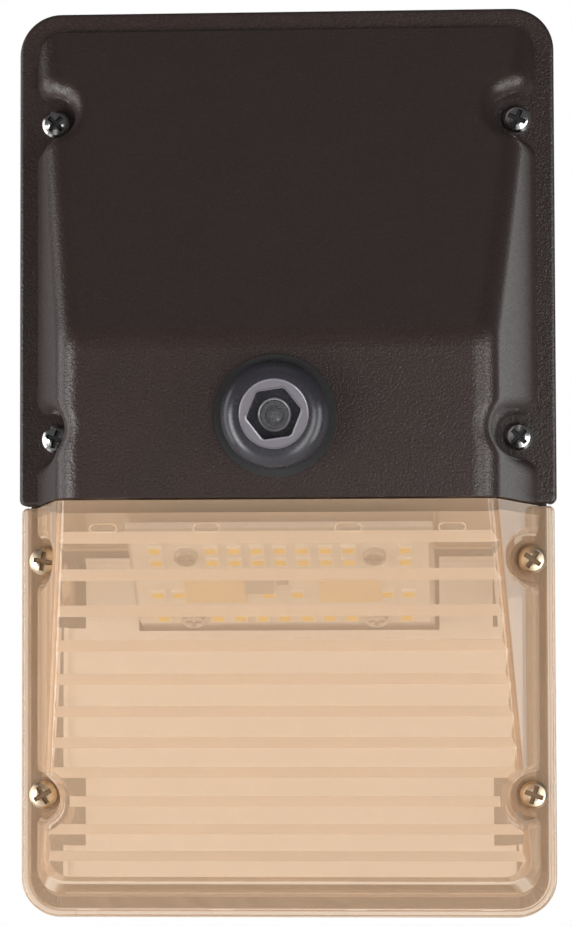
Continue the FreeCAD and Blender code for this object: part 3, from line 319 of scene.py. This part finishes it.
def rounded_outline(width, height, radius, steps=5):
    """Four quarter circles, each round its own corner centre, anticlockwise."""
    side = np.array([[1, 1], [-1, 1], [-1, -1], [1, -1]])[:, None, :]
    a = np.radians(90.0 * np.arange(4)[:, None] + np.linspace(0.0, 90.0, steps))
    centre = side * (np.array([width, height]) / 2 - radius)
    return (centre + radius * np.stack([np.cos(a), np.sin(a)], axis=-1)).reshape(-1, 2)


def bands(rings, n, closed=False):
    """Four-sided faces between neighbouring rings of n points, as rows of corner numbers."""
    r = np.arange(rings if closed else rings - 1)[:, None]
    i = np.arange(n)[None, :]
    j, q = (i + 1) % n, (r + 1) % rings
    return np.stack([r * n + i, r * n + j, q * n + j, q * n + i], axis=-1).reshape(-1, 4).tolist()


def domed_pad(width, height, radius, low, high, crown):
    """Closed pad: straight rim, then rings that close in towards a domed top."""
    rim = rounded_outline(width, height, radius)
    n = len(rim)
    rings = [(1.0, low), (1.0, high), (0.92, high + crown * 0.5), (0.7, high + crown * 0.85),
             (0.35, high + crown)]
    verts = np.concatenate([np.column_stack([rim * scale, np.full(n, z)]) for scale, z in rings])
    ends = np.arange(n)
    faces = [ends[::-1].tolist()] + bands(len(rings), n) + [(ends + (len(rings) - 1) * n).tolist()]
    return verts, faces


def join(pieces):
    """One vertex array and face list from several; each piece's numbers follow the last's."""
    starts = np.cumsum([0] + [len(v) for v, _ in pieces])
    faces = [(np.array(face) + start).tolist() for start, (_, f) in zip(starts, pieces) for face in f]
    return np.concatenate([v for v, _ in pieces]), faces


def make_piece(name, verts, faces, mat, body):
    """A flat-shaded mesh at the origin that rides on a body."""
    mesh = bpy.data.meshes.new(name)
    mesh.from_pydata(verts.tolist(), [], faces)
    mesh.validate()
    mesh.update()
    obj = bpy.data.objects.new(name, mesh)
    bpy.context.collection.objects.link(obj)
    mesh.materials.append(mat)
    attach(obj, body)


windows = []
for row, places in ROWS.items():
    for x in sorted({side * place for place in places for side in (-1, 1)}):
        v, f = domed_pad(2.8, 2.0, 0.5, CHIP_TOP - 0.05, CHIP_TOP + 0.03, 0.06)
        windows.append((v + np.array([x, -BOARD_TOP - row, 0.0]), f))
verts, faces = join(windows)
phosphor = plastic("led_phosphor", (0.98, 0.66, 0.03), 0.35)
make_piece("led_windows", on_slope(verts), faces, phosphor, "housing")
print("LED windows:", len(windows), "faces:", len(faces))


# %% [markdown]
# ## Photocell face
# The flat face of the button is a lighter ring around the hexagonal socket, with a thin
# bright lip along the hexagon and along its outer edge. A second ring frames the eye.

# %% Photocell rings
CELL_Z = 8.6              # height of the button's middle
CELL_FLOOR = 95.7         # its flat face, out from the wall
SOCKET_FLOOR = 93.0       # floor of the hexagonal socket


def circle(radius, steps=96):
    """Points at one radius and even angles."""
    a = np.linspace(0.0, 2 * math.pi, steps, endpoint=False)
    return np.column_stack([radius * np.cos(a), radius * np.sin(a)])


def soft_hexagon(across, turn, round_off, steps=96):
    """Radius is the half width over the cosine of the angle from the nearest flat, with
    a largest value that rounds the corners off."""
    a = np.linspace(0.0, 2 * math.pi, steps, endpoint=False)
    phase = np.mod(a - math.radians(turn), math.pi / 3) - math.pi / 6
    radius = np.minimum(across / 2 / np.cos(phase), across / 2 * round_off)
    return np.column_stack([radius * np.cos(a), radius * np.sin(a)])


def ring(loops, x=0.0, z=CELL_Z):
    """Closed ring from loops of (outline, depth), joined in order and back to the first."""
    n = len(loops[0][0])
    verts = np.concatenate([np.column_stack([o[:, 0] + x, np.full(n, -d), o[:, 1] + z])
                            for o, d in loops]) / 1000.0
    return verts, bands(len(loops), n, closed=True)


hexagon = [soft_hexagon(11.4 + grow, 8, 1.12) for grow in (0.1, 0.3, 1.0)]
face_ring = ring([(hexagon[0], CELL_FLOOR - 0.05), (circle(8.42), CELL_FLOOR - 0.05),
                  (circle(8.42), CELL_FLOOR + 0.3), (circle(8.25), CELL_FLOOR + 0.4),
                  (circle(7.95), CELL_FLOOR + 0.22), (hexagon[2], CELL_FLOOR + 0.22),
                  (hexagon[1], CELL_FLOOR + 0.42), (hexagon[0], CELL_FLOOR + 0.3)])
eye_ring = ring([(circle(3.45), SOCKET_FLOOR - 0.05), (circle(4.1), SOCKET_FLOOR - 0.05),
                 (circle(4.1), SOCKET_FLOOR + 0.35), (circle(3.8), SOCKET_FLOOR + 0.6),
                 (circle(3.5), SOCKET_FLOOR + 0.4)])
pale_ring = plastic("photocell_face", (0.20, 0.186, 0.207), 0.20)
for name, (verts, faces) in (("cell_face_ring", face_ring), ("cell_eye_ring", eye_ring)):
    make_piece(name, verts, faces, pale_ring, "cover")
    print(name, "faces:", len(faces))


# %% [markdown]
# ## Screw recesses and lens marks
# A dark cross of painted shade lies in the cross recess of each front screw, near black on
# the cover and brown on the lens. Four moulded outlines stand on the inside of the lens, above
# the board; their pale colour is a painted highlight of the light caught on their edges.

# %% Painted recess shade and lens marks
HEAD_FACE = 40.2          # flange front, out from the wall
MARK_X, MARK_Z = (-42.1, -17.1, 17.1, 42.1), -17.6
# place across, height and turn in degrees of each front screw
SCREWS = {"cover": [(-58.9, 87.0, 42), (58.9, 87.0, 25), (-58.9, 6.1, 18), (58.9, 6.1, 45)],
          "lens": [(-62.1, -25.0, 10), (62.1, -25.0, 35), (-62.1, -84.2, 60), (62.1, -84.2, 20)]}


def cross_outline(reach, half):
    """Twelve corners of a cross: three of one arm, turned by quarter turns."""
    quarter = np.array([(reach, -half), (reach, half), (half, half)], dtype=float)
    turns = np.array([[[1, 0], [0, 1]], [[0, -1], [1, 0]], [[-1, 0], [0, -1]], [[0, 1], [-1, 0]]])
    return np.einsum("tij,pj->tpi", turns, quarter).reshape(-1, 2)


def cross_fill(x, z, turn):
    """A cross that fills the lower part of a recess, narrower at its top; it carries painted shade.
    """
    t = math.radians(turn)
    rings = []
    for reach, half, depth in ((2.34, 0.57, 0.94), (2.34, 0.57, 1.55), (2.15, 0.42, 1.70)):
        p = cross_outline(reach, half)
        rings.append(np.column_stack([x + p[:, 0] * math.cos(t) + p[:, 1] * math.sin(t),
                                      np.full(12, -HEAD_FACE - depth),
                                      z - p[:, 0] * math.sin(t) + p[:, 1] * math.cos(t)]))
    arms = np.array([[0, 1, 2, 11], [3, 4, 5, 2], [6, 7, 8, 5], [9, 10, 11, 8], [2, 5, 8, 11]])
    faces = bands(3, 12) + arms[:, ::-1].tolist() + (arms + 24).tolist()
    return np.concatenate(rings) / 1000.0, faces


def capsule(width, height, steps=24):
    """A half circle at the right end, and the same turned half way round."""
    r = height / 2
    a = np.linspace(-math.pi / 2, math.pi / 2, steps // 2)
    right = np.column_stack([width / 2 - r + r * np.cos(a), r * np.sin(a)])
    return np.concatenate([right, -right])


# Painted shade: near black crosses in the cover screws and brown ones in the lens screws stand in for
# the shade deep in each cross recess.
painted_shade_black = plastic("painted_recess_shade", (0.012, 0.011, 0.011), 0.6)
brown = plastic("recess_shade", (0.20, 0.13, 0.07), 0.6)
for body, dark, slot in (("cover", painted_shade_black, "steel_screws"), ("lens", brown, "yellow_zinc_screws")):
    verts, faces = join([cross_fill(*screw) for screw in SCREWS[body]])
    make_piece(body + "_screw_painted_shade", verts, faces, dark, body)

rim = [(capsule(6.2, 1.6), 82.55), (capsule(6.9, 2.3), 82.55), (capsule(6.9, 2.3), 81.9),
       (capsule(6.6, 2.0), 81.75), (capsule(6.2, 1.6), 81.9)]
verts, faces = join([ring(rim, x, MARK_Z) for x in MARK_X])
# Painted highlight: the rims are real moulded outlines, and their pale colour stands in for light
# caught on their edges.
pale_rim_highlight = plastic("rim_painted_highlight", (0.80, 0.68, 0.55), 0.5)
make_piece("lens_mark_rims", verts, [face[::-1] for face in faces], pale_rim_highlight, "lens")
print("pad rims:", len(MARK_X), "faces:", len(faces))


# %% [markdown]
# ## Studio
# A pale floor, a world that is white for the camera and through clear plastic and a dim
# grey for all other light, and soft lamps at both sides, behind, above and in front.

# %% Studio
def area_lamp(name, place, target, size, power):
    """A soft box at a place, turned to face the target; size in metres, power in watts."""
    data = bpy.data.lights.new(name, "AREA")
    data.shape = "RECTANGLE"
    data.size, data.size_y = size
    data.energy = power
    lamp = bpy.data.objects.new(name, data)
    bpy.context.collection.objects.link(lamp)
    lamp.location = place
    lamp.rotation_euler = (Vector(target) - Vector(place)).to_track_quat("-Z", "Y").to_euler()


def world(camera_white, light_grey):
    """White where the camera sees it, straight or through the lens; grey as a light."""
    w = bpy.data.worlds.new("studio")
    bpy.context.scene.world = w
    w.use_nodes = True
    tree = w.node_tree
    tree.nodes.clear()
    out = tree.nodes.new("ShaderNodeOutputWorld")
    seen = add(tree, "Background", Color=(*camera_white, 1.0), Strength=1.0)
    lit = add(tree, "Background", Color=(*light_grey, 1.0), Strength=1.0)
    mix = tree.nodes.new("ShaderNodeMixShader")
    path = add(tree, "LightPath").outputs
    tree.links.new(largest(tree, path["Is Camera Ray"], path["Is Transmission Ray"]), mix.inputs[0])
    tree.links.new(lit.outputs[0], mix.inputs[1])
    tree.links.new(seen.outputs[0], mix.inputs[2])
    tree.links.new(mix.outputs[0], out.inputs["Surface"])


world((1.0, 1.0, 1.0), (0.09, 0.09, 0.095))
CENTRE = (0, -0.05, 0)
FLOOR_WHITE = (0.9, 0.9, 0.9, 1.0)
for name, place, size, power in (
        ("left_front_softbox", (-0.67, -0.58, -0.22), (0.30, 0.75), 6.0),
        ("left_side_softbox", (-0.85, -0.02, 0.0), (0.5, 1.0), 3.5),
        ("right_front_softbox", (0.40, -0.82, -0.24), (0.28, 0.75), 3.6),
        ("right_side_softbox", (0.77, -0.46, -0.16), (0.36, 0.7), 3.8),
        ("left_rim_softbox", (-0.55, 0.75, 0.0), (0.6, 1.3), 0.4),
        ("right_rim_softbox", (0.55, 0.75, 0.0), (0.6, 1.3), 1.6),
        ("top_softbox", (0.0, -0.45, 0.90), (0.8, 0.5), 0.25),
        ("front_softbox", (0.0, -1.30, -0.45), (0.8, 0.8), 0.8)):
    area_lamp(name, place, CENTRE, size, power)

bpy.ops.mesh.primitive_plane_add(size=6.0, location=(0, 0, -0.60))
floor = bpy.context.object
floor.name = "floor"
pale, tree, shader, floor_out = new_material("pale_floor")
shader.inputs["Base Color"].default_value = FLOOR_WHITE
shader.inputs["Roughness"].default_value = 0.9
seen = add(tree, "Emission", Color=FLOOR_WHITE, Strength=1.0)
blend = tree.nodes.new("ShaderNodeMixShader")
camera_ray = add(tree, "LightPath").outputs["Is Camera Ray"]
tree.links.new(ramp(tree, camera_ray, 0.0, 1.0, 0.0, 0.8), blend.inputs[0])
tree.links.new(shader.outputs[0], blend.inputs[1])
tree.links.new(seen.outputs[0], blend.inputs[2])
tree.links.new(blend.outputs[0], floor_out.inputs["Surface"])
floor.data.materials.append(pale)


# %% [markdown]
# ## Camera
# It stands a little to the right of the object and a little below its middle, about
# 0.8 m away, with a long lens.

# %% Camera
def place_camera(azimuth, elevation, distance, roll, lens, target):
    """A camera on a sphere round the target; angles in degrees, lens in millimetres."""
    a, e = math.radians(azimuth), math.radians(elevation)
    back = Vector((math.sin(a) * math.cos(e), -math.cos(a) * math.cos(e), math.sin(e)))
    data = bpy.data.cameras.new("camera")
    data.lens = lens
    data.sensor_width = 36.0
    cam = bpy.data.objects.new("camera", data)
    bpy.context.collection.objects.link(cam)
    cam.location = Vector(target) + back * distance
    cam.rotation_mode = "QUATERNION"
    spin = Quaternion((0, 0, 1), math.radians(roll))
    cam.rotation_quaternion = (-back).to_track_quat("-Z", "Y") @ spin
    bpy.context.scene.camera = cam


place_camera(3.2, -3.0, 0.815, -0.17, 124.6, (-0.0002, -0.0402, -0.0002))
bpy.context.scene.view_settings.view_transform = "Standard"
